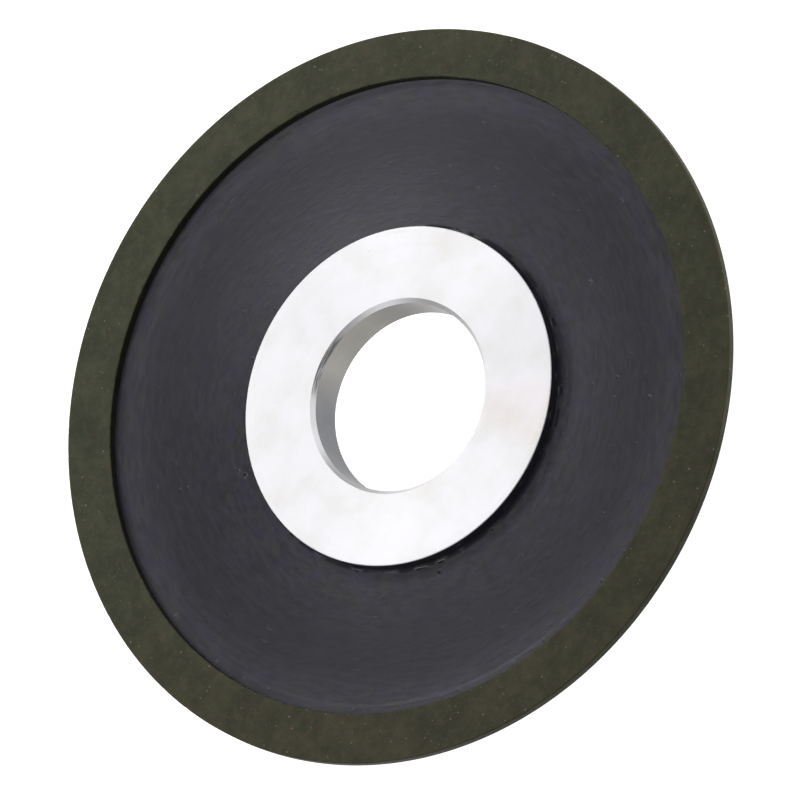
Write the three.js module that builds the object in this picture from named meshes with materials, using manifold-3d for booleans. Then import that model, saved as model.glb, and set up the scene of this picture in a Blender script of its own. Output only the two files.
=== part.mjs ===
// Diamond grinding wheel, tapered on one side: a ring of resin-bonded diamond on a base ring
// of the same resin without diamond, carried by a moulded phenolic body that is locked round
// a machined aluminium hub.
//
// Millimetres. The wheel lies flat on its back. Its axis is +Z, the grinding face looks up,
// and the origin is the centre of the hub's back face.

import * as THREE from "three";
import { mergeVertices } from "three/addons/utils/BufferGeometryUtils.js";
import Module from "manifold-3d";

const wasm = await Module();
wasm.setup();

// Driving dimensions of the wheel
const WHEEL_DIAMETER = 125;
const BORE_DIAMETER = 32;
const HUB_DIAMETER = 57.8;
const HUB_HEIGHT = 8;
const RING_WIDTH = 8.3;
const DIAMOND_DEPTH = 1.5;
const BASE_RING_DEPTH = 1;

// The ring's face is a shallow cone: it starts just below the hub's face at the rim, and rises
// inwards by the cone's height
const RIM_BELOW_HUB = 0.05;
const RING_CONE_HEIGHT = 0.5;

// Depth of the floor, below the ring's inner edge and below the hub's face
const FLOOR_BELOW_RING = 1.7;
const FLOOR_BELOW_HUB = 2.55;

// The floor is dished: its slope grows towards the hub by this share, and falls towards the ring
const DISH = 0.9;
const DISH_STEPS = 5;

// The body's back: a flat round the hub, a shallow taper to the rim and a steep edge
const BACK_FLAT_DIAMETER = 67;
const RIM_CHAMFER = 1.5;

// Coves where the body's floor turns up to the hub and to the ring
const HUB_COVE = 0.5;
const RING_COVE = 0.1;
const COVE_STEPS = 4;
const COVE_LAND = 0.1;

// Broken edges
const BORE_CHAMFER = 0.7;
const HUB_EDGE_BREAK = 0.25;
const RING_OUTER_BREAK = 0.2;
const RING_INNER_BREAK = 0.15;

// The hub's buried anchor: a flange with round notches, which the moulding flows through
const ANCHOR_DIAMETER = 62;
const ANCHOR_BOTTOM = 1.2;
const ANCHOR_TOP = 3.2;
const NOTCH_COUNT = 12;
const NOTCH_RADIUS = 2.4;
const NOTCH_SIDES = 16;

// A cutting bar runs this far past the faces it cuts, and a joining bar this far into them
const OVERCUT = 0.5;
const OVERLAP = 0.05;

// Film between two pieces that are moulded or bonded together
const JOINT_GAP = 0.1;

// Facets round the axis
const SEGMENTS = 96;

// Worked-out sizes
const rimRadius = WHEEL_DIAMETER / 2;
const boreRadius = BORE_DIAMETER / 2;
const hubRadius = HUB_DIAMETER / 2;
const anchorRadius = ANCHOR_DIAMETER / 2;
const ringInnerRadius = rimRadius - RING_WIDTH;
const rimTop = HUB_HEIGHT - RIM_BELOW_HUB;
const ringInnerTop = rimTop + RING_CONE_HEIGHT;
const ringBottom = rimTop - DIAMOND_DEPTH;
const baseRingTop = ringBottom - JOINT_GAP;
const baseRingBottom = ringBottom - BASE_RING_DEPTH;
const rebateFloor = baseRingBottom - JOINT_GAP;
const floorAtRing = ringInnerTop - FLOOR_BELOW_RING;
const floorAtHub = HUB_HEIGHT - FLOOR_BELOW_HUB;

const finishes = {
  diamondBond: { color: 0x42443a, roughness: 0.85, metalness: 0 },
  plainBond: { color: 0x383730, roughness: 0.85, metalness: 0 },
  phenolic: { color: 0x3e3e42, roughness: 0.6, metalness: 0 },
  aluminium: { color: 0xe8e8ea, roughness: 0.35, metalness: 1 },
};

// A closed outline of [radius, height] pairs, turned round +Z
function turned(outline) {
  const closed = [...outline, outline[0]];
  const points = closed.map(([radius, height]) => new THREE.Vector2(radius, height));
  const geometry = new THREE.LatheGeometry(points, SEGMENTS);
  geometry.rotateX(Math.PI / 2);
  return geometry;
}

// Points of a hollow quarter round about its centre, from one angle to another, in degrees
function cove(radius, centreRadius, centreHeight, fromDegrees, toDegrees) {
  const points = [];
  for (let step = 0; step <= COVE_STEPS; step += 1) {
    const degrees = fromDegrees + ((toDegrees - fromDegrees) * step) / COVE_STEPS;
    const angle = THREE.MathUtils.degToRad(degrees);
    points.push([
      centreRadius + radius * Math.cos(angle),
      centreHeight + radius * Math.sin(angle),
    ]);
  }
  return points;
}

function toSolid(geometry) {
  const bare = geometry.clone();
  bare.deleteAttribute("normal");
  bare.deleteAttribute("uv");
  const merged = mergeVertices(bare);
  return new wasm.Manifold(new wasm.Mesh({
    numProp: 3,
    vertProperties: new Float32Array(merged.attributes.position.array),
    triVerts: new Uint32Array(merged.index.array),
  }));
}

function toGeometry(solid) {
  const mesh = solid.getMesh();
  const geometry = new THREE.BufferGeometry();
  geometry.setAttribute("position", new THREE.BufferAttribute(mesh.vertProperties, 3));
  geometry.setIndex(new THREE.BufferAttribute(mesh.triVerts, 1));
  geometry.computeVertexNormals();
  return geometry;
}

// The dished floor between its two coves, from the ring to the hub
function dishedFloor(outerRadius, innerRadius) {
  const points = [];
  for (let step = 1; step < DISH_STEPS; step += 1) {
    const along = 1 - step / DISH_STEPS;
    const rise = along * (1 + DISH * (1 - along));
    points.push([
      innerRadius + (outerRadius - innerRadius) * along,
      floorAtHub + (floorAtRing - floorAtHub) * rise,
    ]);
  }
  return points;
}

// Round bars through the anchor flange, one for each notch, kept outside a radius
function notchBars(radius, bottom, top, keptOutside) {
  const sleeve = toSolid(turned([
    [keptOutside, bottom - OVERCUT],
    [anchorRadius + NOTCH_RADIUS + OVERCUT, bottom - OVERCUT],
    [anchorRadius + NOTCH_RADIUS + OVERCUT, top + OVERCUT],
    [keptOutside, top + OVERCUT],
  ]));
  const bars = [];
  for (let notch = 0; notch < NOTCH_COUNT; notch += 1) {
    const angle = (2 * Math.PI * notch) / NOTCH_COUNT;
    const bar = new THREE.CylinderGeometry(radius, radius, top - bottom, NOTCH_SIDES);
    bar.rotateX(Math.PI / 2);
    bar.translate(
      anchorRadius * Math.cos(angle),
      anchorRadius * Math.sin(angle),
      (top + bottom) / 2,
    );
    bars.push(toSolid(bar).intersect(sleeve));
  }
  return bars;
}

function hubGeometry() {
  const blank = turned([
    [boreRadius + BORE_CHAMFER, 0],
    [hubRadius - HUB_EDGE_BREAK, 0],
    [hubRadius, HUB_EDGE_BREAK],
    [hubRadius, ANCHOR_BOTTOM],
    [anchorRadius, ANCHOR_BOTTOM],
    [anchorRadius, ANCHOR_TOP],
    [hubRadius, ANCHOR_TOP],
    [hubRadius, HUB_HEIGHT - HUB_EDGE_BREAK],
    [hubRadius - HUB_EDGE_BREAK, HUB_HEIGHT],
    [boreRadius + BORE_CHAMFER, HUB_HEIGHT],
    [boreRadius, HUB_HEIGHT - BORE_CHAMFER],
    [boreRadius, BORE_CHAMFER],
  ]);
  const cuts = notchBars(NOTCH_RADIUS, ANCHOR_BOTTOM - OVERCUT, ANCHOR_TOP + OVERCUT, hubRadius);
  let hub = toSolid(blank);
  for (const cut of cuts) {
    hub = hub.subtract(cut);
  }
  return toGeometry(hub);
}

function bodyGeometry() {
  const innerRadius = hubRadius + JOINT_GAP;
  const lipRadius = ringInnerRadius - JOINT_GAP;
  const chamferStep = ringBottom - rebateFloor;
  const outerCove = lipRadius - COVE_LAND - RING_COVE;
  const innerCove = innerRadius + COVE_LAND + HUB_COVE;
  const blank = turned([
    [innerRadius, 0],
    [BACK_FLAT_DIAMETER / 2, 0],
    [rimRadius - RIM_CHAMFER, ringBottom - RIM_CHAMFER],
    [rimRadius - chamferStep, rebateFloor],
    [lipRadius, rebateFloor],
    [lipRadius, floorAtRing + RING_COVE],
    ...cove(RING_COVE, outerCove, floorAtRing + RING_COVE, 0, -90),
    ...dishedFloor(outerCove, innerCove),
    ...cove(HUB_COVE, innerCove, floorAtHub + HUB_COVE, 270, 180),
    [innerRadius, floorAtHub + HUB_COVE],
    [innerRadius, ANCHOR_TOP + JOINT_GAP],
    [anchorRadius + JOINT_GAP, ANCHOR_TOP + JOINT_GAP],
    [anchorRadius + JOINT_GAP, ANCHOR_BOTTOM - JOINT_GAP],
    [innerRadius, ANCHOR_BOTTOM - JOINT_GAP],
  ]);
  const keys = notchBars(
    NOTCH_RADIUS - JOINT_GAP,
    ANCHOR_BOTTOM - JOINT_GAP - OVERLAP,
    ANCHOR_TOP + JOINT_GAP + OVERLAP,
    innerRadius,
  );
  let body = toSolid(blank);
  for (const key of keys) {
    body = body.add(key);
  }
  return toGeometry(body);
}

function baseRingGeometry() {
  return turned([
    [ringInnerRadius, baseRingBottom],
    [rimRadius - (ringBottom - baseRingBottom), baseRingBottom],
    [rimRadius - JOINT_GAP, baseRingTop],
    [ringInnerRadius, baseRingTop],
  ]);
}

function diamondRingGeometry() {
  return turned([
    [ringInnerRadius, ringBottom],
    [rimRadius, ringBottom],
    [rimRadius, rimTop - RING_OUTER_BREAK],
    [rimRadius - RING_OUTER_BREAK, rimTop],
    [ringInnerRadius + RING_INNER_BREAK, ringInnerTop],
    [ringInnerRadius, ringInnerTop - RING_INNER_BREAK],
  ]);
}

function piece(name, geometry, finish) {
  const mesh = new THREE.Mesh(geometry, new THREE.MeshStandardMaterial(finishes[finish]));
  mesh.name = name;
  return mesh;
}

const wheel = new THREE.Group();
wheel.add(
  piece("aluminium_hub", hubGeometry(), "aluminium"),
  piece("phenolic_body", bodyGeometry(), "phenolic"),
  piece("bond_base_ring", baseRingGeometry(), "plainBond"),
  piece("diamond_ring", diamondRingGeometry(), "diamondBond"),
);

export default wheel;
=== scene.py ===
"""Looks of a diamond grinding wheel: olive abrasive ring, turned black body, bright bored hub.

Metres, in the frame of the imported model: the wheel lies on its back with its axis along +Z and
its grinding face up, and the origin is the centre of the hub's back face.
"""

import math
import random

import bpy
import numpy as np
from mathutils import Matrix, Vector


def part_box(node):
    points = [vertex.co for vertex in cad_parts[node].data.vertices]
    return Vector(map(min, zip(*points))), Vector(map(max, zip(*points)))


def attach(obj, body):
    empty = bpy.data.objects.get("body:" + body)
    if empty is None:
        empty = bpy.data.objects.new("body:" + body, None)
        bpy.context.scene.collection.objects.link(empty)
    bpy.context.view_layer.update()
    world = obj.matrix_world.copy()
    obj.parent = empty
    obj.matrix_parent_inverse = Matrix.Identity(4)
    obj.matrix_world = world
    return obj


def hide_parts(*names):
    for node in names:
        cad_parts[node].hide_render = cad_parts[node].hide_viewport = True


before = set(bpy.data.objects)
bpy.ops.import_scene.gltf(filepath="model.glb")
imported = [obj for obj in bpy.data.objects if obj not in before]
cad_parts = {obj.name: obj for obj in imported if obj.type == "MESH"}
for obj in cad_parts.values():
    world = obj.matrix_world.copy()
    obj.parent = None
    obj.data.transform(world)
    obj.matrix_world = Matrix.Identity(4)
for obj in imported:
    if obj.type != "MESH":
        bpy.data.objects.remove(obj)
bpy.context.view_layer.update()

MM = 0.001
MICRON = 1e-6
SEED = 7


# ---------------------------------------------------------------- sizes, read from the frame

def node_points(node):
    """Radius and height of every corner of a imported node."""
    corners = np.array([v.co[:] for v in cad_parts[node].data.vertices])
    return np.hypot(corners[:, 0], corners[:, 1]), corners[:, 2]


def radius_range(node, height=None):
    """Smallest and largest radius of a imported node, or of its corners at one height."""
    radii, heights = node_points(node)
    if height is not None:
        radii = radii[np.abs(heights - height) < 2 * MICRON]
    return float(radii.min()), float(radii.max())


_, hub_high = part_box("aluminium_hub")
body_low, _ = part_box("phenolic_body")
base_low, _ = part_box("bond_base_ring")
ring_low, ring_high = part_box("diamond_ring")

HUB_TOP = hub_high.z
RING_TOP = ring_high.z
RING_BOTTOM = ring_low.z
BASE_BOTTOM = base_low.z
RIM_RADIUS = radius_range("diamond_ring")[1]
RING_INNER = radius_range("diamond_ring")[0]
BORE_RADIUS = radius_range("aluminium_hub")[0]
ANCHOR_RADIUS = radius_range("aluminium_hub")[1]
BACK_FLAT_RADIUS = radius_range("phenolic_body", body_low.z)[1]
BORE_CHAMFER = radius_range("aluminium_hub", HUB_TOP)[0] - BORE_RADIUS

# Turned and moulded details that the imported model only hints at
PACKED_HUB_EDGE = 0.25 * MM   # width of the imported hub's broken edge
HUB_RADIUS = radius_range("aluminium_hub", HUB_TOP)[1] + PACKED_HUB_EDGE
HUB_EDGE_ROUND = 0.16 * MM
ANCHOR_BOTTOM = 1.2 * MM
ANCHOR_TOP = 3.2 * MM
NOTCH_COUNT = 12
NOTCH_RADIUS = 2.4 * MM
RIM_TOP = HUB_TOP - 0.05 * MM   # the ring's face is a cone that rises inwards from here
FLOOR_AT_RING = RING_TOP - 1.7 * MM
FLOOR_AT_HUB = HUB_TOP - 2.55 * MM
DISH = 0.9                    # how much steeper than its mean slope the floor is at the hub
HUB_COVE = 0.5 * MM
COVE_WAVE = 0.05 * MM         # how much the hub cove rises and falls round the axis
RING_COVE = 0.06 * MM
RELIEF_RADIUS = 52.4 * MM     # the floor steps down here, just before the ring
RELIEF_WIDTH = 0.8 * MM
RELIEF_DEPTH = 0.04 * MM
RELIEF_PLACE = math.radians(-140)   # the angle where the relief is deepest
RELIEF_REACH = math.radians(42)     # how far it reaches round from there
RELIEF_LEAST = 0.25                 # share of its depth that is left on the far side
RELIEF_FADE = 0.3 * MM              # it ends over this width, right beside the ring
RIM_CHAMFER = 1.5 * MM
TOOL_MARK = 2 * MICRON        # height of the rings that the tool left in the floor
RING_OUTER_BREAK = 0.2 * MM
RING_INNER_BREAK = 0.2 * MM
JOINT_GAP = 0.02 * MM

# How finely the pieces are cut: columns round the axis, steps along an outline
RING_COLUMNS = 1440
BODY_COLUMNS = 1440
HUB_COLUMNS = 720
BASE_RING_COLUMNS = 720
FLOOR_STEPS = 150
COVE_STEPS = 8


# ---------------------------------------------------------------- mesh tools

def straight(start, end, steps):
    """Points from start to end, without the end."""
    return [
        (start[0] + (end[0] - start[0]) * i / steps, start[1] + (end[1] - start[1]) * i / steps)
        for i in range(steps)
    ]


def rounded(centre, radius, from_degrees, to_degrees, steps):
    """Points on an arc, both ends included."""
    points = []
    for i in range(steps + 1):
        angle = math.radians(from_degrees + (to_degrees - from_degrees) * i / steps)
        points.append((centre[0] + radius * math.cos(angle), centre[1] + radius * math.sin(angle)))
    return points


def revolve(name, radii, heights):
    """A closed body from grids of radius and height: one row for each outline point, one
    column for each angle."""
    rows, columns = radii.shape
    angles = np.linspace(0, 2 * math.pi, columns, endpoint=False)
    corners = np.stack([radii * np.cos(angles), radii * np.sin(angles), heights], axis=-1)
    row, column = np.meshgrid(np.arange(rows), np.arange(columns), indexing="ij")
    next_row, next_column = (row + 1) % rows, (column + 1) % columns
    faces = np.stack([
        row * columns + column,
        row * columns + next_column,
        next_row * columns + next_column,
        next_row * columns + column,
    ], axis=-1).reshape(-1, 4)
    mesh = bpy.data.meshes.new(name)
    mesh.from_pydata(corners.reshape(-1, 3).tolist(), [], faces.tolist())
    mesh.update()
    mesh.polygons.foreach_set("use_smooth", [True] * len(mesh.polygons))
    piece = bpy.data.objects.new(name, mesh)
    bpy.context.scene.collection.objects.link(piece)
    return piece


def outline_grid(outline, columns):
    """The same outline at every angle, as grids of radius and height."""
    points = np.array(outline)
    radii = np.repeat(points[:, :1], columns, axis=1)
    heights = np.repeat(points[:, 1:], columns, axis=1)
    return radii, heights


def ripple(columns, low, high, rng):
    """A smooth random wave round the circle, about -1 to 1, with low to high waves a turn."""
    angles = np.linspace(0, 2 * math.pi, columns, endpoint=False)
    wave = np.zeros(columns)
    counts = [rng.randint(low, high) for _ in range(24)]
    for count in counts:
        wave += math.sqrt(2 / len(counts)) * np.cos(count * angles + rng.uniform(0, 2 * math.pi))
    return wave / 2


def chips(columns, count, widths, depths, rng):
    """Random nicks along an edge: their depth at every angle. Widths are at the ring's inner
    edge."""
    angles = np.linspace(0, 2 * math.pi, columns, endpoint=False)
    depth = np.zeros(columns)
    for _ in range(count):
        centre = rng.uniform(0, 2 * math.pi)
        half = rng.uniform(*widths) / RING_INNER / 2
        away = np.abs((angles - centre + math.pi) % (2 * math.pi) - math.pi)
        nick = np.clip(1 - (away / half) ** 2, 0, None) * rng.uniform(*depths)
        depth = np.maximum(depth, nick)
    return depth


def split_sharp(piece, degrees):
    """Keeps edges sharper than this many degrees crisp in the shading."""
    modifier = piece.modifiers.new("crisp_edges", "EDGE_SPLIT")
    modifier.split_angle = math.radians(degrees)


# ---------------------------------------------------------------- node tools

PATTERN_SHIFT = 0.05     # metres
SPECK_CORE = 0.4         # share of a speck's radius that is fully covered


class Shader:
    """A material's node tree with short calls for the nodes used here."""

    def __init__(self, name):
        self.material = bpy.data.materials.new(name)
        self.material.use_nodes = True
        self.tree = self.material.node_tree
        self.tree.nodes.clear()
        self.output = self.tree.nodes.new("ShaderNodeOutputMaterial")
        self.bsdf = self.tree.nodes.new("ShaderNodeBsdfPrincipled")
        self.link(self.bsdf.outputs[0], self.output.inputs["Surface"])
        self.place = self.tree.nodes.new("ShaderNodeTexCoord").outputs["Object"]

    def link(self, source, target):
        self.tree.links.new(source, target)

    def plug(self, target, value):
        if isinstance(value, bpy.types.NodeSocket):
            self.link(value, target)
        else:
            target.default_value = value

    def math(self, operation, *values):
        node = self.tree.nodes.new("ShaderNodeMath")
        node.operation = operation
        for socket, value in zip(node.inputs, values):
            self.plug(socket, value)
        return node.outputs[0]

    def split(self):
        node = self.tree.nodes.new("ShaderNodeSeparateXYZ")
        self.link(self.place, node.inputs[0])
        return node.outputs

    def join(self, x, y, z):
        node = self.tree.nodes.new("ShaderNodeCombineXYZ")
        for socket, value in zip(node.inputs, (x, y, z)):
            self.plug(socket, value)
        return node.outputs[0]

    def radius(self):
        x, y, _ = self.split()
        x_squared = self.math("MULTIPLY", x, x)
        y_squared = self.math("MULTIPLY", y, y)
        return self.math("SQRT", self.math("ADD", x_squared, y_squared))

    def facing(self, degrees):
        """1 on the side of the axis at this angle, 0 a quarter turn away, -1 opposite."""
        x, y, _ = self.split()
        across = self.math("MULTIPLY", x, math.cos(math.radians(degrees)))
        along = self.math("MULTIPLY", y, math.sin(math.radians(degrees)))
        return self.math("DIVIDE", self.math("ADD", across, along), self.radius())

    def ring_place(self, pitch, arc):
        """Coordinates that run fast across the radius and slowly round it."""
        x, y, z = self.split()
        radius = self.radius()
        across = self.math("MULTIPLY", self.math("DIVIDE", x, radius), arc)
        along = self.math("MULTIPLY", self.math("DIVIDE", y, radius), arc)
        height = self.math("DIVIDE", z, pitch)
        return self.join(self.math("DIVIDE", radius, pitch), across, self.math("ADD", along, height))

    def shifted_place(self):
        """The same coordinates moved away, for a pattern that doesn't follow the others."""
        x, y, z = self.split()
        return self.join(self.math("ADD", x, PATTERN_SHIFT), y, z)

    def noise(self, place, scale, detail=2.0, roughness=0.5):
        node = self.tree.nodes.new("ShaderNodeTexNoise")
        self.link(place, node.inputs["Vector"])
        node.inputs["Scale"].default_value = scale
        node.inputs["Detail"].default_value = detail
        node.inputs["Roughness"].default_value = roughness
        return node.outputs["Fac"]

    def cells(self, place, scale):
        """Distance to the nearest cell centre, and a random colour for each cell."""
        node = self.tree.nodes.new("ShaderNodeTexVoronoi")
        self.link(place, node.inputs["Vector"])
        node.inputs["Scale"].default_value = scale
        return node.outputs["Distance"], node.outputs["Color"]

    def ramp(self, value, low, high, to_low=0.0, to_high=1.0):
        """Runs from to_low to to_high while the value runs from low to high, and stops there."""
        node = self.tree.nodes.new("ShaderNodeMapRange")
        self.plug(node.inputs["Value"], value)
        keys = ("From Min", "From Max", "To Min", "To Max")
        for key, number in zip(keys, (low, high, to_low, to_high)):
            self.plug(node.inputs[key], number)
        return node.outputs["Result"]

    def mix(self, factor, first, second, blend="MIX"):
        node = self.tree.nodes.new("ShaderNodeMix")
        node.data_type = "RGBA"
        node.blend_type = blend
        self.plug(node.inputs["Factor"], factor)
        for key, colour in (("A", first), ("B", second)):
            socket = [s for s in node.inputs if s.name == key and s.type == "RGBA"][0]
            self.plug(socket, colour if isinstance(colour, bpy.types.NodeSocket) else (*colour, 1))
        return [s for s in node.outputs if s.type == "RGBA"][0]

    def paint_shading_and_tints(self, colour, painted_shading_and_tints):
        """Tints some sides of the wheel, mostly as painted light and shade. A tint is its angle in
        degrees, how far it reaches to each side, its tint, and whether it comes in streaks round the
        axis."""
        for degrees, reach, tint, streaky in painted_shading_and_tints:
            edge = math.cos(math.radians(reach))
            cover = self.ramp(self.facing(degrees), edge, 0.3 * edge + 0.7)
            if streaky:
                streaks = self.ramp(self.noise(self.ring_place(0.14 * MM, 5.0), 1.0, 2), 0.40, 0.52)
                cover = self.math("MULTIPLY", cover, streaks)
            colour = self.mix(cover, colour, tint, "MULTIPLY")
        return colour

    def bump(self, height, depth, normal=None):
        node = self.tree.nodes.new("ShaderNodeBump")
        node.inputs["Strength"].default_value = 1.0
        node.inputs["Distance"].default_value = depth
        self.link(height, node.inputs["Height"])
        if normal is not None:
            self.link(normal, node.inputs["Normal"])
        return node.outputs[0]

    def turned_grain(self, amount):
        """Stretches reflections across the turning marks, which run round +Z."""
        self.bsdf.inputs["Anisotropic"].default_value = amount
        self.bsdf.inputs["Anisotropic Rotation"].default_value = 0.25
        tangent = self.tree.nodes.new("ShaderNodeTangent")
        tangent.direction_type = "RADIAL"
        tangent.axis = "Z"
        self.link(tangent.outputs[0], self.bsdf.inputs["Tangent"])

    def specks(self, place, scale, share, size):
        """1 inside a random share of small round spots, 0 elsewhere."""
        distance, colour = self.cells(place, scale)
        pick = self.tree.nodes.new("ShaderNodeSeparateColor")
        self.link(colour, pick.inputs[0])
        chosen = self.math("LESS_THAN", pick.outputs[0], share)
        grain = self.math("MULTIPLY_ADD", pick.outputs[1], size * 0.6, size * 0.4)
        core = self.math("MULTIPLY", grain, SPECK_CORE)
        return self.math("MULTIPLY", chosen, self.ramp(distance, grain, core))


# ---------------------------------------------------------------- materials

# Resin bond in linear colour, before a surface's own tone; the two tints multiply
BOND_DARK_AREA = (0.0295, 0.0320, 0.0172)
BOND_PALE_AREA = (0.0535, 0.0540, 0.0293)
BOND_DARK_PATCH = (0.027, 0.029, 0.016)
BOND_PALE_PATCH = (0.066, 0.067, 0.040)
BOND_FINE_GRAIN = (0.070, 0.071, 0.042)
BOND_PEBBLE = (0.060, 0.061, 0.036)
BOND_GREEN_TINT = (0.90, 1.05, 0.82)
BOND_PINK_TINT = (1.11, 0.96, 1.00)
BOND_DARK_GRAIN = (0.028, 0.029, 0.016)
BOND_PALE_GRAIN = (0.090, 0.090, 0.058)
BOND_CREAM_GRAIN = (0.165, 0.138, 0.092)
BOND_BROWN_EDGE = (0.085, 0.062, 0.028)
FINE_GRAIN_SHARE = 0.25


def gritty_bond(name, tone, roughness, specular, brown=0.0, painted_shading_and_tints=()):
    """Resin bond full of diamond: matt mottled olive with pale and dark grains, and as much
    brown as asked for at the rim's edge."""
    def toned(colour):
        return tuple(value * tone for value in colour)

    s = Shader(name)
    patch = s.noise(s.place, 620, 4, 0.6)
    broad = s.noise(s.place, 170, 3, 0.6)
    hue = s.noise(s.shifted_place(), 750, 4, 0.6)
    fine = s.noise(s.place, 2300, 3, 0.6)
    pebble, _ = s.cells(s.place, 1500)
    colour = s.mix(s.ramp(broad, 0.36, 0.64), toned(BOND_DARK_AREA), toned(BOND_PALE_AREA))
    colour = s.mix(s.ramp(patch, 0.35, 0.50, 0.45, 0.0), colour, toned(BOND_DARK_PATCH))
    colour = s.mix(s.ramp(patch, 0.50, 0.66, 0.0, 0.45), colour, toned(BOND_PALE_PATCH))
    colour = s.mix(s.ramp(fine, 0.3, 0.7, 0.0, FINE_GRAIN_SHARE), colour, toned(BOND_FINE_GRAIN))
    colour = s.mix(s.ramp(pebble, 0.15, 0.6, 0.25, 0.0), colour, toned(BOND_PEBBLE))
    colour = s.mix(s.ramp(hue, 0.38, 0.50, 0.8, 0.0), colour, BOND_GREEN_TINT, "MULTIPLY")
    colour = s.mix(s.ramp(hue, 0.50, 0.62, 0.0, 0.8), colour, BOND_PINK_TINT, "MULTIPLY")
    colour = s.mix(s.specks(s.place, 2100, 0.14, 0.42), colour, toned(BOND_DARK_GRAIN))
    colour = s.mix(s.specks(s.place, 2400, 0.10, 0.40), colour, toned(BOND_PALE_GRAIN))
    colour = s.mix(s.specks(s.place, 1300, 0.10, 0.34), colour, toned(BOND_CREAM_GRAIN))
    colour = s.paint_shading_and_tints(colour, painted_shading_and_tints)
    browned = s.ramp(s.radius(), RIM_RADIUS - 0.45 * MM, RIM_RADIUS - 0.1 * MM, 0.0, brown)
    colour = s.mix(browned, colour, toned(BOND_BROWN_EDGE))
    s.link(colour, s.bsdf.inputs["Base Color"])
    s.plug(s.bsdf.inputs["Roughness"], s.ramp(fine, 0.3, 0.7, roughness - 0.1, roughness + 0.1))
    s.bsdf.inputs["Specular IOR Level"].default_value = specular
    normal = s.bump(fine, 33 * MICRON)
    normal = s.bump(s.math("MULTIPLY", pebble, -1.0), 20 * MICRON, normal)
    s.link(normal, s.bsdf.inputs["Normal"])
    return s.material


def diamond_bond():
    """The ring's face: browner on one side, and darker on another as painted shade."""
    painted_shading_and_tints = (
        (-125, 100, (1.07, 0.985, 0.97), False),
        (-68, 60, (0.87, 0.90, 0.86), False),
        (-255, 70, (0.98, 1.02, 1.02), False),
    )
    return gritty_bond("diamond_bond", 0.93, 0.72, 0.25, 0.45, painted_shading_and_tints)


def rim_side():
    """The ring's outer side, dull and dark, with one side made paler as painted light."""
    painted_shading_and_tints = ((-25, 62, (2.1, 2.15, 2.0), False),)
    return gritty_bond("rim_side", 0.60, 0.55, 0.10, painted_shading_and_tints=painted_shading_and_tints)


def ground_side():
    """The ring's inner wall, ground smoother than its face."""
    return gritty_bond("ground_side", 0.40, 0.42, 0.22)


def plain_bond():
    """The same resin without diamond: finer and darker."""
    s = Shader("plain_bond")
    fine = s.noise(s.place, 3500, 3, 0.6)
    colour = s.mix(s.ramp(fine, 0.3, 0.7), (0.030, 0.030, 0.020), (0.050, 0.048, 0.034))
    s.link(colour, s.bsdf.inputs["Base Color"])
    s.plug(s.bsdf.inputs["Roughness"], s.ramp(fine, 0.3, 0.7, 0.6, 0.8))
    s.bsdf.inputs["Specular IOR Level"].default_value = 0.3
    s.link(s.bump(fine, 20 * MICRON), s.bsdf.inputs["Normal"])
    return s.material


# Moulding compound in linear colour
PHENOLIC_DARK_AREA = (0.0060, 0.0057, 0.0100)
PHENOLIC_PALE_AREA = (0.0180, 0.0172, 0.0235)
PHENOLIC_DARK_BLOTCH = (0.0015, 0.0013, 0.0035)
PHENOLIC_PALE_BLOTCH = (0.0250, 0.0242, 0.0310)
PHENOLIC_TURNED_RING = (0.0165, 0.0158, 0.0215)
PHENOLIC_LAVENDER = (0.0130, 0.0112, 0.0280)
PHENOLIC_BEIGE = (0.0150, 0.0135, 0.0125)
PHENOLIC_MIDDLE_DARK = (0.0010, 0.0008, 0.0035)
PHENOLIC_PALE_SCORE = (0.0380, 0.0380, 0.0430)
PHENOLIC_DARK_SCORE = (0.0005, 0.0005, 0.0015)
PHENOLIC_PALE_DASH = (0.0320, 0.0320, 0.0370)
PHENOLIC_DARK_DASH = (0.0010, 0.0010, 0.0020)
PHENOLIC_PIT = (0.001, 0.001, 0.002)
PHENOLIC_PALE_SPECK = (0.055, 0.055, 0.060)
PHENOLIC_TINT = (0.94, 0.925, 1.0, 1)     # of its reflections


def middle_dark_band(s, radius):
    """The darker band in the middle of the floor, with soft edges."""
    inner = s.ramp(radius, 32 * MM, 43 * MM, 0.0, 0.75)
    outer = s.ramp(radius, 51 * MM, 47 * MM)
    return s.math("MULTIPLY", inner, outer)


def cove_dullness(s, radius):
    """Extra roughness in the cove beside the hub, with a few polished places in it."""
    beside_hub = s.ramp(radius, HUB_RADIUS + 1.0 * MM, HUB_RADIUS + 0.65 * MM)
    polished = s.ramp(s.noise(s.ring_place(4.0 * MM, 9.0), 1.0, 1), 0.48, 0.64)
    dull = s.math("SUBTRACT", 0.55, s.math("MULTIPLY", polished, 0.75))
    return s.math("MULTIPLY", beside_hub, dull)


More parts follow.
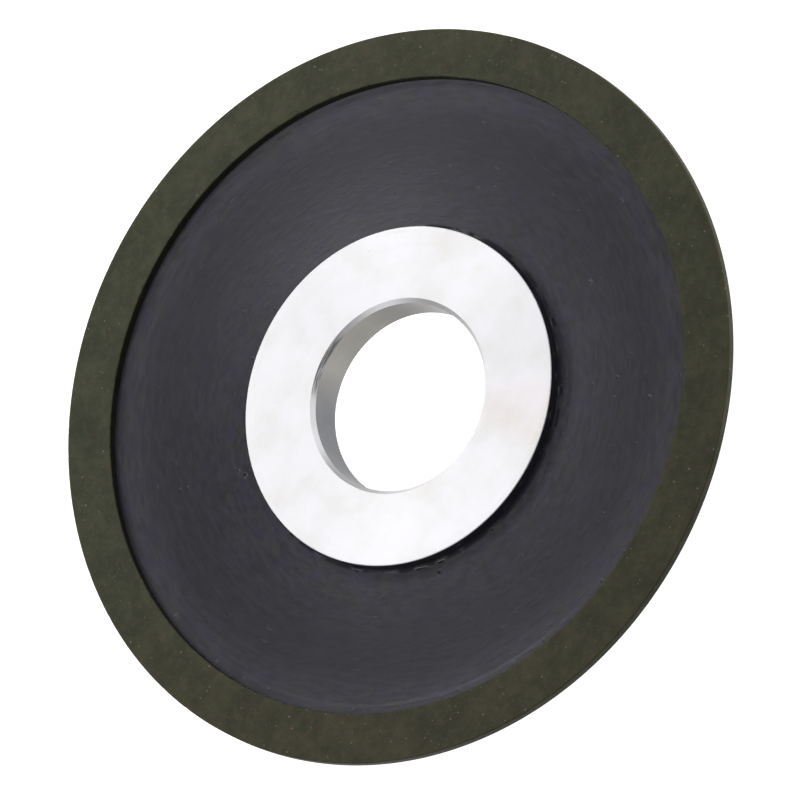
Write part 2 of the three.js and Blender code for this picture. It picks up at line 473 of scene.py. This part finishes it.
def phenolic():
    """Black moulding compound, turned: blotches and scores drawn out round the axis, pits."""
    s = Shader("phenolic")
    rings = s.noise(s.ring_place(0.30 * MM, 3.0), 1.0, 3, 0.55)
    blotch = s.noise(s.ring_place(0.85 * MM, 16.0), 1.0, 2, 0.5)
    scored = s.noise(s.ring_place(0.22 * MM, 11.0), 1.0, 1, 0.5)
    wide = s.noise(s.place, 120, 3, 0.6)
    hue = s.noise(s.shifted_place(), 330, 4, 0.6)
    dashes = s.ring_place(1.0 * MM, 9.0)
    radius = s.radius()
    colour = s.mix(s.ramp(wide, 0.36, 0.64), PHENOLIC_DARK_AREA, PHENOLIC_PALE_AREA)
    colour = s.mix(s.ramp(blotch, 0.38, 0.50, 0.45, 0.0), colour, PHENOLIC_DARK_BLOTCH)
    colour = s.mix(s.ramp(blotch, 0.50, 0.62, 0.0, 0.45), colour, PHENOLIC_PALE_BLOTCH)
    colour = s.mix(s.ramp(rings, 0.40, 0.70, 0.0, 0.3), colour, PHENOLIC_TURNED_RING)
    colour = s.mix(s.ramp(hue, 0.48, 0.60, 0.0, 0.7), colour, PHENOLIC_LAVENDER)
    colour = s.mix(s.ramp(hue, 0.48, 0.38, 0.0, 0.6), colour, PHENOLIC_BEIGE)
    colour = s.mix(middle_dark_band(s, radius), colour, PHENOLIC_MIDDLE_DARK)
    colour = s.mix(s.ramp(scored, 0.68, 0.80, 0.0, 0.5), colour, PHENOLIC_PALE_SCORE)
    colour = s.mix(s.ramp(scored, 0.28, 0.20, 0.0, 0.6), colour, PHENOLIC_DARK_SCORE)
    colour = s.mix(s.specks(dashes, 1.0, 0.15, 0.18), colour, PHENOLIC_PALE_DASH)
    colour = s.mix(s.specks(dashes, 1.7, 0.20, 0.22), colour, PHENOLIC_DARK_DASH)
    colour = s.mix(s.specks(s.place, 700, 0.12, 0.24), colour, PHENOLIC_PIT)
    colour = s.mix(s.specks(s.place, 1100, 0.03, 0.18), colour, PHENOLIC_PALE_SPECK)
    s.link(colour, s.bsdf.inputs["Base Color"])
    ring_gloss = s.ramp(rings, 0.2, 0.8, 0.34, 0.37)
    blotch_gloss = s.ramp(blotch, 0.35, 0.65, -0.02, 0.02)
    roughness = s.math("ADD", ring_gloss, blotch_gloss)
    roughness = s.math("ADD", roughness, cove_dullness(s, radius))
    s.link(roughness, s.bsdf.inputs["Roughness"])
    s.bsdf.inputs["Specular IOR Level"].default_value = 0.43
    s.bsdf.inputs["Specular Tint"].default_value = PHENOLIC_TINT
    s.turned_grain(0.36)
    normal = s.bump(rings, 2.5 * MICRON)
    normal = s.bump(blotch, 38 * MICRON, normal)
    normal = s.bump(s.noise(s.place, 3500, 2), 3 * MICRON, normal)
    s.link(normal, s.bsdf.inputs["Normal"])
    return s.material


def turned_aluminium(name, dark, pale, roughness, grain, marks, painted_shading_and_tints=(), glancing=1.0):
    """Machined aluminium: rings of tool marks, faint warm smudges, and tints on some sides that are
    mostly painted light and shade. Glancing is how bright it is when seen almost along its surface."""
    s = Shader(name)
    rings = s.noise(s.ring_place(0.12 * MM, 2.0), 1.0, 3, 0.6)
    smudge = s.noise(s.place, 130, 4, 0.55)
    smear = s.ramp(smudge, 0.42, 0.72, 0.0, 0.8)
    lavender = tuple(pale * tint for tint in (1.0, 0.993, 1.025))
    warm = tuple(dark * tint for tint in (1.0, 0.985, 0.965))
    colour = s.mix(smear, lavender, warm)
    colour = s.mix(s.specks(s.place, 1100, 0.05, 0.16), colour, tuple(0.8 * value for value in warm))
    colour = s.paint_shading_and_tints(colour, painted_shading_and_tints)
    s.link(colour, s.bsdf.inputs["Base Color"])
    s.bsdf.inputs["Metallic"].default_value = 1.0
    s.bsdf.inputs["Specular Tint"].default_value = (glancing, glancing, glancing, 1)
    s.plug(s.bsdf.inputs["Roughness"], s.ramp(rings, 0.2, 0.8, roughness - 0.04, roughness + 0.04))
    s.turned_grain(grain)
    s.link(s.bump(rings, marks), s.bsdf.inputs["Normal"])
    return s.material


def faced_aluminium():
    """The hub's two faces: near white, with one warm smudge and faint painted light and shade round
    them.
    """
    painted_shading_and_tints = (
        # A warm smudge; then painted shade, painted light, painted shade, painted shade.
        (-73, 14, (1.0, 0.975, 0.965), False),
        (-36, 26, (0.970, 0.975, 0.975), False),
        (-125, 55, (1.035, 1.035, 1.035), False),
        (-315, 50, (0.958, 0.958, 0.958), False),
        (-358, 24, (0.985, 0.985, 0.985), False),
    )
    return turned_aluminium("faced_aluminium", 0.757, 0.824, 0.646, 0.25, 1.2 * MICRON, painted_shading_and_tints)


def chamfer_aluminium():
    """The bore's chamfers, with dark streaks of painted reflection on one side."""
    painted_shading_and_tints = ((-268, 22, (0.36, 0.36, 0.37), True),)
    return turned_aluminium("chamfer_aluminium", 0.84, 0.90, 0.42, 0.22, 1.2 * MICRON, painted_shading_and_tints)


def bored_aluminium():
    """Bored wall: its metal darkened as painted shade; bluish and dark on one side and warm on the
    other, as painted reflection.
    """
    painted_shading_and_tints = (
        (-205, 60, (0.62, 0.64, 0.67), False),
        (-176, 34, (0.48, 0.50, 0.52), False),
        (-248, 34, (1.18, 1.18, 1.18), False),
        (-305, 65, (1.06, 1.03, 0.93), False),
        (-340, 38, (0.66, 0.66, 0.68), False),
    )
    return turned_aluminium("bored_aluminium", 0.185, 0.225, 0.30, 0.40, 1.0 * MICRON, painted_shading_and_tints, 0.85)


def dark_boss_aluminium():
    """The boss's side: nearly black, with paler metal in patches. a thin black film of moulding
    resin, worn through in places.
    """
    s = Shader("dark_boss_aluminium")
    pale_patches = s.ramp(s.noise(s.ring_place(0.6 * MM, 9.0), 1.0, 4, 0.6), 0.62, 0.70)
    colour = s.mix(pale_patches, (0.020, 0.020, 0.028), (0.32, 0.32, 0.31))
    s.link(colour, s.bsdf.inputs["Base Color"])
    s.link(pale_patches, s.bsdf.inputs["Metallic"])
    s.bsdf.inputs["Roughness"].default_value = 0.45
    s.bsdf.inputs["Specular IOR Level"].default_value = 0.4
    return s.material


# ---------------------------------------------------------------- pieces

INNER_EDGE_CHIPS = 220
RIM_EDGE_CHIPS = 90


def diamond_ring():
    columns = RING_COLUMNS
    rng = random.Random(SEED)
    outer, inner = RING_OUTER_BREAK, RING_INNER_BREAK
    face_outer = (RIM_RADIUS - outer, RIM_TOP)
    face_inner = (RING_INNER + inner, RING_TOP)
    side = (
        straight((RING_INNER, RING_BOTTOM), (RIM_RADIUS, RING_BOTTOM), 8)
        + straight((RIM_RADIUS, RING_BOTTOM), (RIM_RADIUS, RIM_TOP - outer), 4)
        + rounded((RIM_RADIUS - outer, RIM_TOP - outer), outer, 0, 60, 3)
    )
    face = (
        straight(face_outer, face_inner, 24)
        + rounded((RING_INNER + inner, RING_TOP - inner), inner, 90, 180, 5)
    )
    wall = straight((RING_INNER, RING_TOP - inner * 1.5), (RING_INNER, RING_BOTTOM), 3)
    outline = side + face + wall
    radii, heights = outline_grid(outline, columns)
    nicks = chips(columns, INNER_EDGE_CHIPS, (0.3 * MM, 1.3 * MM), (0.01 * MM, 0.10 * MM), rng)
    near_edge = np.exp(-((radii - RING_INNER) / (0.15 * MM)) ** 2) * (heights > RING_TOP - 0.3 * MM)
    radii = radii + near_edge * nicks
    heights = heights - near_edge * nicks * 0.5
    rim_nicks = chips(columns, RIM_EDGE_CHIPS, (0.3 * MM, 1.0 * MM), (0.005 * MM, 0.035 * MM), rng)
    near_rim = np.exp(-((radii - RIM_RADIUS) / (0.25 * MM)) ** 2) * (heights > RIM_TOP - 0.3 * MM)
    radii = radii - near_rim * rim_nicks
    piece = revolve("abrasive_ring", radii, heights)
    for material in (diamond_bond(), rim_side(), ground_side()):
        piece.data.materials.append(material)
    last_of_side, last_of_face = len(side) - 1, len(side) + len(face) - 3
    for polygon in piece.data.polygons:
        row = polygon.index // columns
        polygon.material_index = int(row < last_of_side) + 2 * int(row > last_of_face)
    split_sharp(piece, 50)
    return piece


def base_ring():
    bottom = BASE_BOTTOM
    top = RING_BOTTOM - JOINT_GAP
    outer_bottom = RIM_RADIUS - (RING_BOTTOM - bottom)
    outline = (
        straight((RING_INNER, bottom), (outer_bottom, bottom), 6)
        + straight((outer_bottom, bottom), (RIM_RADIUS - JOINT_GAP, top), 6)
        + straight((RIM_RADIUS - JOINT_GAP, top), (RING_INNER, top), 6)
        + straight((RING_INNER, top), (RING_INNER, bottom), 3)
    )
    piece = revolve("resin_base_ring", *outline_grid(outline, BASE_RING_COLUMNS))
    piece.data.materials.append(plain_bond())
    split_sharp(piece, 30)
    return piece


def notch_wall(columns, flange_radius, notch_radius):
    """Radius of the anchor's edge at every angle: the flange, or the wall of a notch."""
    angles = np.linspace(0, 2 * math.pi, columns, endpoint=False)
    pitch = 2 * math.pi / NOTCH_COUNT
    away = (angles + pitch / 2) % pitch - pitch / 2
    across = ANCHOR_RADIUS * np.sin(away)
    inside = np.abs(across) < notch_radius
    depth = np.sqrt(np.clip(notch_radius ** 2 - across ** 2, 0, None))
    wall = ANCHOR_RADIUS * np.cos(away) - depth
    return np.where(inside, np.minimum(wall, flange_radius), flange_radius)


def floor_height(radii, hub_side, ring_side):
    """Height of the dished floor, with the shallow relief that runs round beside the ring."""
    along = (radii - hub_side) / (ring_side - hub_side)
    rise = along * (1 + DISH * (1 - along))
    angles = np.linspace(0, 2 * math.pi, radii.shape[1], endpoint=False)
    away = (angles - RELIEF_PLACE + math.pi) % (2 * math.pi) - math.pi
    near_place = np.exp(-(away / RELIEF_REACH) ** 2)
    depth = RELIEF_DEPTH * (RELIEF_LEAST + (1 - RELIEF_LEAST) * near_place)
    step = np.clip((radii - RELIEF_RADIUS) / RELIEF_WIDTH + 0.5, 0, 1)
    relief = depth * step * step * (3 - 2 * step)
    edges = np.clip((ring_side - radii) / RELIEF_FADE, 0, 1)
    return FLOOR_AT_HUB + (FLOOR_AT_RING - FLOOR_AT_HUB) * rise - relief * edges


# Dents of the floor that stand out: degrees round the axis, radius, half width, depth
BIG_DENTS = (
    (-137, 31.3 * MM, 0.42 * MM, 0.22 * MM),
    (-223, 31.4 * MM, 0.38 * MM, 0.20 * MM),
    (-225, 32.3 * MM, 0.28 * MM, 0.08 * MM),
    (-226, 32.8 * MM, 0.20 * MM, 0.05 * MM),
    (-67, 47.2 * MM, 0.40 * MM, 0.08 * MM),
    (-36, 38.4 * MM, 0.42 * MM, 0.07 * MM),
    (-25, 50.1 * MM, 0.35 * MM, 0.07 * MM),
    (-158, 43.4 * MM, 0.30 * MM, 0.06 * MM),
    (-348, 47.6 * MM, 0.38 * MM, 0.06 * MM),
)
SMALL_DENTS = 85
EDGE_NICKS = 15               # short radial nicks beside the ring, all on one side of the wheel
DENT_LIP = 0.18               # height of a dent's raised lip, as a share of its depth


def press_dents(radii, heights, rows, rng):
    """Presses dents with a slightly raised lip into the rows of the floor, and radial nicks."""
    columns = radii.shape[1]
    angles = np.linspace(0, 2 * math.pi, columns, endpoint=False)[None, :]
    dents = [(math.radians(a), r, half, depth) for a, r, half, depth in BIG_DENTS]
    for _ in range(SMALL_DENTS):
        dents.append((
            rng.uniform(0, 2 * math.pi),
            rng.uniform(HUB_RADIUS + 1.5 * MM, RING_INNER - 1.2 * MM),
            rng.uniform(0.15, 0.27) * MM,
            rng.uniform(0.03, 0.09) * MM,
        ))
    dents = [(angle, radius, half, half, depth) for angle, radius, half, depth in dents]
    for _ in range(EDGE_NICKS):
        dents.append((
            -math.radians(rng.uniform(90, 210)),
            rng.uniform(RING_INNER - 1.6 * MM, RING_INNER - 0.8 * MM),
            rng.uniform(0.16, 0.24) * MM,
            rng.uniform(0.35, 0.75) * MM,
            rng.uniform(0.04, 0.09) * MM,
        ))
    for angle, radius, half, long, depth in dents:
        round_way = (angles - angle + math.pi) % (2 * math.pi) - math.pi
        away = np.hypot((radii[rows] - radius) / long, round_way * radius / half)
        hollow = np.exp(-away ** 2 * 2)
        lip = np.exp(-((away - 1.25) / 0.35) ** 2) * DENT_LIP
        heights[rows] += depth * (lip - hollow)


def anchor_groove(inner):
    """The groove round the hub's anchor, as its four corners."""
    outer = ANCHOR_RADIUS + JOINT_GAP
    top = ANCHOR_TOP + JOINT_GAP
    bottom = ANCHOR_BOTTOM - JOINT_GAP
    return [(inner, top), (outer, top), (outer, bottom), (inner, bottom)]


def body_outline(ring_side, hub_side):
    """The body's outline in five stretches: front, floor, hub cove, anchor groove and back."""
    inner = HUB_RADIUS + JOINT_GAP
    lip = RING_INNER - JOINT_GAP
    rebate = BASE_BOTTOM - JOINT_GAP
    chamfer_top = RIM_RADIUS - (RING_BOTTOM - rebate)
    chamfer_bottom = (RIM_RADIUS - RIM_CHAMFER, RING_BOTTOM - RIM_CHAMFER)
    front = (
        straight((chamfer_top, rebate), (lip, rebate), 6)
        + straight((lip, rebate), (lip, FLOOR_AT_RING + RING_COVE), 3)
        + rounded((ring_side, FLOOR_AT_RING + RING_COVE), RING_COVE, 0, -90, COVE_STEPS)
    )
    floor = straight((ring_side, FLOOR_AT_RING), (hub_side, FLOOR_AT_HUB), FLOOR_STEPS)[1:]
    cove = rounded((hub_side, FLOOR_AT_HUB + HUB_COVE), HUB_COVE, 270, 180, COVE_STEPS)
    back = (
        straight((inner, 0), (BACK_FLAT_RADIUS, 0), 8)
        + straight((BACK_FLAT_RADIUS, 0), chamfer_bottom, 60)
        + straight(chamfer_bottom, (chamfer_top, rebate), 4)
    )
    return front, floor, cove, anchor_groove(inner), back


def body():
    columns = BODY_COLUMNS
    rng = random.Random(SEED + 1)
    ring_side = RING_INNER - JOINT_GAP - RING_COVE
    hub_side = HUB_RADIUS + JOINT_GAP + HUB_COVE
    front, floor, cove, groove, back = body_outline(ring_side, hub_side)
    radii, heights = outline_grid(front + floor + cove + groove + back, columns)
    groove_start = len(front) + len(floor) + len(cove)
    for row in (groove_start + 1, groove_start + 2):
        radii[row] = notch_wall(columns, ANCHOR_RADIUS + JOINT_GAP, NOTCH_RADIUS - JOINT_GAP)
    floor_rows = slice(len(front), len(front) + len(floor))
    heights[floor_rows] = floor_height(radii[floor_rows], hub_side, ring_side)
    cove_rows = slice(floor_rows.stop - 2, floor_rows.stop + COVE_STEPS + 1)
    across = np.sin(np.linspace(0, math.pi, COVE_STEPS + 3))[:, None]
    heights[cove_rows] += across * ripple(columns, 20, 60, rng) * COVE_WAVE
    marks = np.array([rng.gauss(0, 1) for _ in floor])
    marks = np.convolve(marks, [0.25, 0.5, 0.25], mode="same")
    heights[floor_rows] += (marks * TOOL_MARK)[:, None]
    press_dents(radii, heights, floor_rows, rng)
    piece = revolve("moulded_body", radii, heights)
    piece.data.materials.append(phenolic())
    split_sharp(piece, 40)
    return piece


def hub_stretches():
    """The hub's outline in stretches, each with the number of its finish."""
    faced, boss_side, chamfered, bored = range(4)
    edge = HUB_EDGE_ROUND
    face_outer = HUB_RADIUS - edge
    face_inner = BORE_RADIUS + BORE_CHAMFER
    bore_top = HUB_TOP - BORE_CHAMFER
    return (
        (straight((face_inner, 0), (face_outer, 0), 12), faced),
        (rounded((face_outer, edge), edge, -90, 0, 4), faced),
        ([(HUB_RADIUS, ANCHOR_BOTTOM), (ANCHOR_RADIUS, ANCHOR_BOTTOM)], faced),
        ([(ANCHOR_RADIUS, ANCHOR_TOP)], boss_side),
        (straight((HUB_RADIUS, ANCHOR_TOP), (HUB_RADIUS, HUB_TOP - edge), 8), boss_side),
        (rounded((face_outer, HUB_TOP - edge), edge, 0, 90, 6), faced),
        (straight((face_outer, HUB_TOP), (face_inner, HUB_TOP), 12)[1:], faced),
        (straight((face_inner, HUB_TOP), (BORE_RADIUS, bore_top), 4), chamfered),
        (straight((BORE_RADIUS, bore_top), (BORE_RADIUS, BORE_CHAMFER), 12), bored),
        (straight((BORE_RADIUS, BORE_CHAMFER), (face_inner, 0), 4), chamfered),
    )


def hub():
    columns = HUB_COLUMNS
    stretches = hub_stretches()
    outline = [point for points, _ in stretches for point in points]
    finishes = [finish for points, finish in stretches for _ in points]
    radii, heights = outline_grid(outline, columns)
    flange_row = outline.index((ANCHOR_RADIUS, ANCHOR_BOTTOM))
    for row in (flange_row, flange_row + 1):
        radii[row] = notch_wall(columns, ANCHOR_RADIUS, NOTCH_RADIUS)
    piece = revolve("turned_hub", radii, heights)
    for material in (faced_aluminium(), dark_boss_aluminium(), chamfer_aluminium(), bored_aluminium()):
        piece.data.materials.append(material)
    for polygon in piece.data.polygons:
        polygon.material_index = finishes[polygon.index // columns]
    split_sharp(piece, 30)
    return piece


# ---------------------------------------------------------------- camera, floor and light

VIEW_TILT = math.radians(33.1)    # between the wheel's axis and the line of sight
VIEW_ROLL = math.radians(63.35)   # how far the wheel's axis leans left of upright in the picture
FRAME_WIDTH = 131.95 * MM
HUB_OFFSET = Vector((-0.288 * MM, 0.675 * MM))  # where the hub's face sits in the picture
CAMERA_DISTANCE = 1.5

FLOOR_HALF_SIZE = 2.0
FLOOR_DROP = 0.02 * MM            # how far the floor lies below the wheel's back
FLOOR_GREY = (0.55, 0.55, 0.55, 1)
FLOOR_GLOW = 0.92
WORLD_LIGHT = 0.296
BACKDROP = 1.1                    # how bright the world looks to the camera itself

# Softboxes: name, place in metres, width and power
KEY_LIGHT = ("key", (-0.219, 0.294, 0.933), 0.37, 2.488)
SHADOWLESS_LIGHTS = (
    ("top_right", (0.166, 0.277, 0.238), 0.15, 0.475),
    ("top_left", (-0.122, 0.514, 0.331), 0.23, 0.62),
    ("side_right", (0.545, -0.146, 0.205), 0.35, 0.35),
    ("side_left", (-0.545, -0.146, 0.205), 0.35, 0.27),
    ("near_right", (0.360, -0.390, 0.283), 0.16, 0.16),
)


def camera_axes():
    """Right, up and backward directions of the camera, in the row frame."""
    back = Vector((0, -math.sin(VIEW_TILT), math.cos(VIEW_TILT)))
    level_right = Vector((1, 0, 0))
    level_up = back.cross(level_right)
    right = level_right * math.cos(VIEW_ROLL) - level_up * math.sin(VIEW_ROLL)
    up = level_right * math.sin(VIEW_ROLL) + level_up * math.cos(VIEW_ROLL)
    return right, up, back


def add_camera():
    right, up, back = camera_axes()
    data = bpy.data.cameras.new("camera")
    data.type = "ORTHO"
    data.ortho_scale = FRAME_WIDTH
    data.clip_start = 0.01
    data.clip_end = 10
    camera = bpy.data.objects.new("camera", data)
    bpy.context.scene.collection.objects.link(camera)
    target = Vector((0, 0, HUB_TOP)) - right * HUB_OFFSET.x - up * HUB_OFFSET.y
    rotation = Matrix((right, up, back)).transposed().to_4x4()
    camera.matrix_world = Matrix.Translation(target + back * CAMERA_DISTANCE) @ rotation
    bpy.context.scene.camera = camera


def add_softbox(name, place, size, power):
    """A square light that faces the wheel, returned for its settings."""
    data = bpy.data.lights.new(name, "AREA")
    data.shape = "SQUARE"
    data.size = size
    data.energy = power
    light = bpy.data.objects.new(name, data)
    bpy.context.scene.collection.objects.link(light)
    light.location = place
    light.rotation_mode = "QUATERNION"
    light.rotation_quaternion = (-Vector(place)).to_track_quat("-Z", "Y")
    return data


def add_floor():
    size = FLOOR_HALF_SIZE
    mesh = bpy.data.meshes.new("floor")
    corners = [(-size, -size), (size, -size), (size, size), (-size, size)]
    mesh.from_pydata([(x, y, -FLOOR_DROP) for x, y in corners], [], [(0, 1, 2, 3)])
    floor = bpy.data.objects.new("floor", mesh)
    bpy.context.scene.collection.objects.link(floor)
    s = Shader("pale_floor")
    s.bsdf.inputs["Base Color"].default_value = FLOOR_GREY
    s.bsdf.inputs["Roughness"].default_value = 0.9
    s.bsdf.inputs["Specular IOR Level"].default_value = 0.1
    s.bsdf.inputs["Emission Color"].default_value = (1, 1, 1, 1)
    s.bsdf.inputs["Emission Strength"].default_value = FLOOR_GLOW
    mesh.materials.append(s.material)


def add_world():
    """Soft light from all round, and a white backdrop where a view sees past the floor."""
    world = bpy.data.worlds.new("studio")
    world.use_nodes = True
    nodes, links = world.node_tree.nodes, world.node_tree.links
    background = nodes["Background"]
    background.inputs["Color"].default_value = (1, 1, 1, 1)
    seen = nodes.new("ShaderNodeMath")
    seen.operation = "MULTIPLY_ADD"
    seen.inputs[1].default_value = BACKDROP - WORLD_LIGHT
    seen.inputs[2].default_value = WORLD_LIGHT
    links.new(nodes.new("ShaderNodeLightPath").outputs["Is Camera Ray"], seen.inputs[0])
    links.new(seen.outputs[0], background.inputs["Strength"])
    bpy.context.scene.world = world


# ---------------------------------------------------------------- assembly

bpy.context.scene.view_settings.view_transform = "Standard"
add_camera()
add_floor()
add_world()
add_softbox(*KEY_LIGHT)
for light in SHADOWLESS_LIGHTS:
    add_softbox(*light).use_shadow = False

PIECES = (
    (hub, "aluminium_hub", "hub_aluminium"),
    (body, "phenolic_body", "body_phenolic"),
    (base_ring, "bond_base_ring", "plain_bond"),
    (diamond_ring, "diamond_ring", "diamond_bond"),
)
for build, node, slot in PIECES:
    piece = build()
    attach(piece, "root")
    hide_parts(node)
